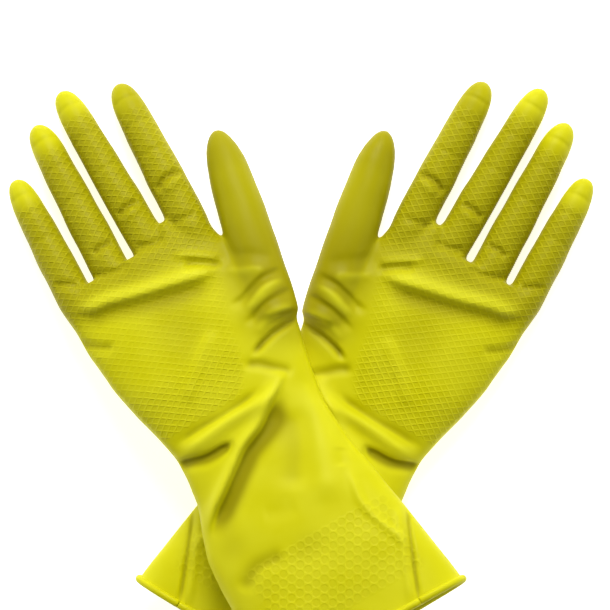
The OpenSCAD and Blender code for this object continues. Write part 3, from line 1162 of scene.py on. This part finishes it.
def turned_over(mesh, corner_values):
    """Turns a mesh's faces over, and puts these values of its corners in the new order."""
    starts = read(mesh.polygons, "loop_start", kind=np.int32)
    totals = read(mesh.polygons, "loop_total", kind=np.int32)
    first, count = np.repeat(starts, totals), np.repeat(totals, totals)
    # Turning a face over keeps its first corner and reverses the rest.
    source = first + (count - (np.arange(len(mesh.loops)) - first)) % count
    mesh.flip_normals()
    return corner_values[source]


def place_piece(pattern, side, name, material, node):
    """A copy of a finished pattern in its glove's place, with its finish; the CAD node that it stands for
    is hidden.
    """
    piece = copy_of(pattern, name)
    mesh = piece.data
    matrix = np.array(GLOVE_FRAMES[side])
    normals = read(mesh.corner_normals, "vector", 3) @ matrix[:3, :3].T
    points = get_points(piece) @ matrix[:3, :3].T + matrix[:3, 3]
    if side == "left":
        points = pressed_under(points)
    set_points(piece, points)
    mesh.materials.append(material)
    if side == "left":
        # The left glove mirrors the pattern, so its faces have to be turned over.
        normals = turned_over(mesh, normals)
    mesh.normals_split_custom_set(normals.tolist())
    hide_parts(node)
    return piece


def join_wrist(piece, side):
    """Attaches a left glove's piece to the left hand's body; a right glove's piece keeps its place in its
    mesh.
    """
    if side == "left":
        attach(piece, "left_hand")
        return
    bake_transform(piece)


def join_finger(piece):
    """Puts a finger piece's place into its mesh."""
    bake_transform(piece)


def join_part(piece, side, part):
    """Passes a finger piece to join_finger and any other piece to join_wrist."""
    if part in FINGERS:
        join_finger(piece)
    else:
        join_wrist(piece, side)


def make_skins(context, part):
    """Makes one part of the latex skin for each glove."""
    latex = bpy.data.materials.get("dipped_latex") or latex_material("dipped_latex", context, True)
    node = f"{part}_stall" if part in FINGERS else part
    pattern = latex_piece(part)
    for side in SIDES:
        piece = place_piece(pattern, side, f"{side}_{part}_skin", latex, f"{side}_{node}")
        join_part(piece, side, part)
    bpy.data.objects.remove(pattern)


class GLOVES_OT_palms(bpy.types.Operator):
    """Makes both palms of the latex skin"""

    bl_idname = "gloves.palms"
    bl_label = "Palms"

    def execute(self, context):
        make_skins(context, "palm")
        return {"FINISHED"}


class GLOVES_OT_cuffs(bpy.types.Operator):
    """Makes both cuffs of the latex skin"""

    bl_idname = "gloves.cuffs"
    bl_label = "Cuffs"

    def execute(self, context):
        make_skins(context, "cuff")
        return {"FINISHED"}


class GLOVES_OT_stalls(bpy.types.Operator):
    """Makes the ten finger stalls of the latex skin"""

    bl_idname = "gloves.stalls"
    bl_label = "Finger stalls"

    def execute(self, context):
        for finger in FINGERS:
            make_skins(context, finger)
        return {"FINISHED"}


class GLOVES_OT_linings(bpy.types.Operator):
    """Makes the flock linings of the palms, the cuffs and the fingers"""

    bl_idname = "gloves.linings"
    bl_label = "Flock linings"

    def execute(self, context):
        flock = flock_material(context.scene.glove_colours)
        lining = bpy.data.objects["glove_lining"]
        for part in PARTS:
            pattern = take_part(lining, part, f"{part}_lining")
            add_modifier(pattern, "SOLIDIFY", thickness=context.scene.glove_sizes.flock, offset=-1)
            only(pattern)
            bpy.ops.object.shade_smooth()
            for side in SIDES:
                piece = place_piece(pattern, side, f"{side}_{part}_flock", flock,
                                    f"{side}_{part}_lining")
                join_part(piece, side, part)
            bpy.data.objects.remove(pattern)
        return {"FINISHED"}


class GLOVES_OT_beads(bpy.types.Operator):
    """Rolls a bead round the mouth of each cuff"""

    bl_idname = "gloves.beads"
    bl_label = "Cuff beads"

    def execute(self, context):
        sizes = context.scene.glove_sizes
        outer = bpy.data.objects["glove_outer"]
        mouth_y = MOUTH_Y + sizes.bead
        path = copy_of(outer, "bead_path")
        mesh = path.data
        corners = edge_corners(mesh)
        on_mouth = np.all(np.abs(get_points(path)[corners][:, :, 1] - mouth_y) < ON_SEAM, axis=1)
        select_edges(path, ~(open_edges(mesh) & on_mouth))
        edit(path)
        bpy.ops.mesh.delete(type="EDGE_FACE")
        bpy.ops.mesh.select_all(action="DESELECT")
        bpy.ops.mesh.select_mode(type="VERT")
        bpy.ops.mesh.select_loose()
        done()
        only(path)
        bpy.ops.object.convert(target="CURVE")

        bpy.ops.object.select_all(action="DESELECT")
        bpy.ops.mesh.primitive_circle_add(vertices=len(BEAD_SECTION), radius=1, location=(0, 0, 0))
        section = context.object
        for vertex, (share, turn) in zip(section.data.vertices, BEAD_SECTION):
            angle = math.radians(turn)
            vertex.co = Vector((math.cos(angle), math.sin(angle), 0)) * share * sizes.bead
        only(section)
        bpy.ops.object.convert(target="CURVE")
        path.data.bevel_mode = "OBJECT"
        path.data.bevel_object = section
        only(path)
        bpy.ops.object.convert(target="MESH")
        pattern = context.object
        edit(pattern)
        bpy.ops.mesh.select_all(action="SELECT")
        bpy.ops.mesh.remove_doubles(threshold=1e-5)
        bpy.ops.mesh.normals_make_consistent(inside=False)
        done()
        only(pattern)
        bpy.ops.object.shade_smooth()
        bead = latex_material("rolled_latex", context, False)
        for side in SIDES:
            piece = place_piece(pattern, side, f"{side}_cuff_roll", bead, f"{side}_cuff_bead")
            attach(piece, "left_hand" if side == "left" else "right_cuff")
        for spare in (pattern, section):
            bpy.data.objects.remove(spare)
        return {"FINISHED"}


# ---------------------------------------------------------------- studio

FLOOR_SIZE = 6.0
# The lights: (name, place in metres, diameter, the setting that gives its power).
LIGHTS = (("key_light", (0.0, 1.05, 0.95), 0.9, "key"),
          ("left_light", (-1.15, 0.2, 0.6), 0.8, "side"),
          ("right_light", (1.15, 0.2, 0.6), 0.8, "side"))
# The middle of the view on the floor, and the width of the camera's sensor in millimetres.
VIEW_CENTRE = (0.002, 0.0414)
SENSOR_WIDTH = 36


class GLOVES_OT_studio(bpy.types.Operator):
    """Adds the floor, the soft lights and the camera above the gloves"""

    bl_idname = "gloves.studio"
    bl_label = "Studio"

    def execute(self, context):
        studio = context.scene.glove_studio
        bpy.ops.object.select_all(action="DESELECT")
        bpy.ops.mesh.primitive_plane_add(size=FLOOR_SIZE, location=(0, 0, cad_bounds[0][2]))
        floor = context.object
        floor.name = "studio_floor"
        material, tree, shader = new_material("studio_floor")
        place = add_node(tree, "ShaderNodeTexCoord").outputs["Object"]
        tint = cloud(tree, place, scale=3.0, detail=2.0, roughness=0.55, low=0.3, high=0.7)
        pale = tuple(channel * 0.985 for channel in studio.floor[:3]) + (1.0,)
        tree.links.new(mix_colour(tree, tint, studio.floor, pale), shader.inputs["Base Color"])
        shader.inputs["Roughness"].default_value = 0.95
        shader.inputs["Specular IOR Level"].default_value = 0.1
        shader.inputs["Emission Color"].default_value = (1, 1, 1, 1)
        shader.inputs["Emission Strength"].default_value = studio.glow
        floor.data.materials.append(material)

        world = bpy.data.worlds.new("studio_world")
        world.use_nodes = True
        tree = world.node_tree
        background = tree.nodes["Background"]
        split = add_node(tree, "ShaderNodeSeparateXYZ")
        tree.links.new(add_node(tree, "ShaderNodeTexCoord").outputs["Generated"], split.inputs[0])
        tree.links.new(spread(tree, split.outputs["Z"], 0.05, 1.0, studio.rim, studio.zenith),
                       background.inputs["Strength"])
        background.inputs["Color"].default_value = (1, 1, 1, 1)
        context.scene.world = world

        for name, place, diameter, power in LIGHTS:
            bpy.ops.object.light_add(type="AREA", location=place)
            light = context.object
            light.name = name
            light.data.shape = "DISK"
            light.data.size = diameter
            light.data.energy = getattr(studio, power)
            light.rotation_euler = (-Vector(place)).to_track_quat("-Z", "Y").to_euler()

        bpy.ops.object.camera_add(location=(*VIEW_CENTRE, studio.distance), rotation=(0, 0, 0))
        camera = context.object
        camera.name = "camera"
        camera.data.sensor_width = SENSOR_WIDTH
        camera.data.lens = SENSOR_WIDTH * (studio.distance - studio.level) / studio.width
        camera.data.clip_end = 20
        context.scene.camera = camera
        context.scene.view_settings.view_transform = "Standard"
        return {"FINISHED"}


class GLOVES_PT_panel(bpy.types.Panel):
    """Lists the sizes, the colours and the steps of the gloves"""

    bl_idname = "GLOVES_PT_panel"
    bl_label = "Rubber gloves"
    bl_space_type = "VIEW_3D"
    bl_region_type = "UI"
    bl_category = "Gloves"

    def draw(self, context):
        for name, group in GROUPS.items():
            box = self.layout.box()
            for key in group.__annotations__:
                box.prop(getattr(context.scene, name), key)
        for operator in OPERATORS:
            self.layout.operator(operator.bl_idname)


OPERATORS = (GLOVES_OT_form, GLOVES_OT_skin, GLOVES_OT_palms, GLOVES_OT_cuffs, GLOVES_OT_stalls,
             GLOVES_OT_beads, GLOVES_OT_linings, GLOVES_OT_studio)
GROUPS = {"glove_sizes": GloveSizes, "glove_grip": GloveGrip, "glove_colours": GloveColours,
          "glove_studio": GloveStudio}


def register():
    for cls in (*GROUPS.values(), *OPERATORS, GLOVES_PT_panel):
        bpy.utils.register_class(cls)
    for name, group in GROUPS.items():
        setattr(bpy.types.Scene, name, bpy.props.PointerProperty(type=group))


def unregister():
    for name in GROUPS:
        delattr(bpy.types.Scene, name)
    for cls in reversed((*GROUPS.values(), *OPERATORS, GLOVES_PT_panel)):
        bpy.utils.unregister_class(cls)


def main():
    register()
    bpy.ops.gloves.form()
    bpy.ops.gloves.skin()
    bpy.ops.gloves.palms()
    bpy.ops.gloves.cuffs()
    bpy.ops.gloves.stalls()
    bpy.ops.gloves.beads()
    bpy.ops.gloves.linings()
    for name in ("glove_form", "glove_outer", "glove_inner", "glove_lining"):
        bpy.data.objects.remove(bpy.data.objects[name])
    bpy.ops.gloves.studio()


if __name__ == "__main__":
    main()
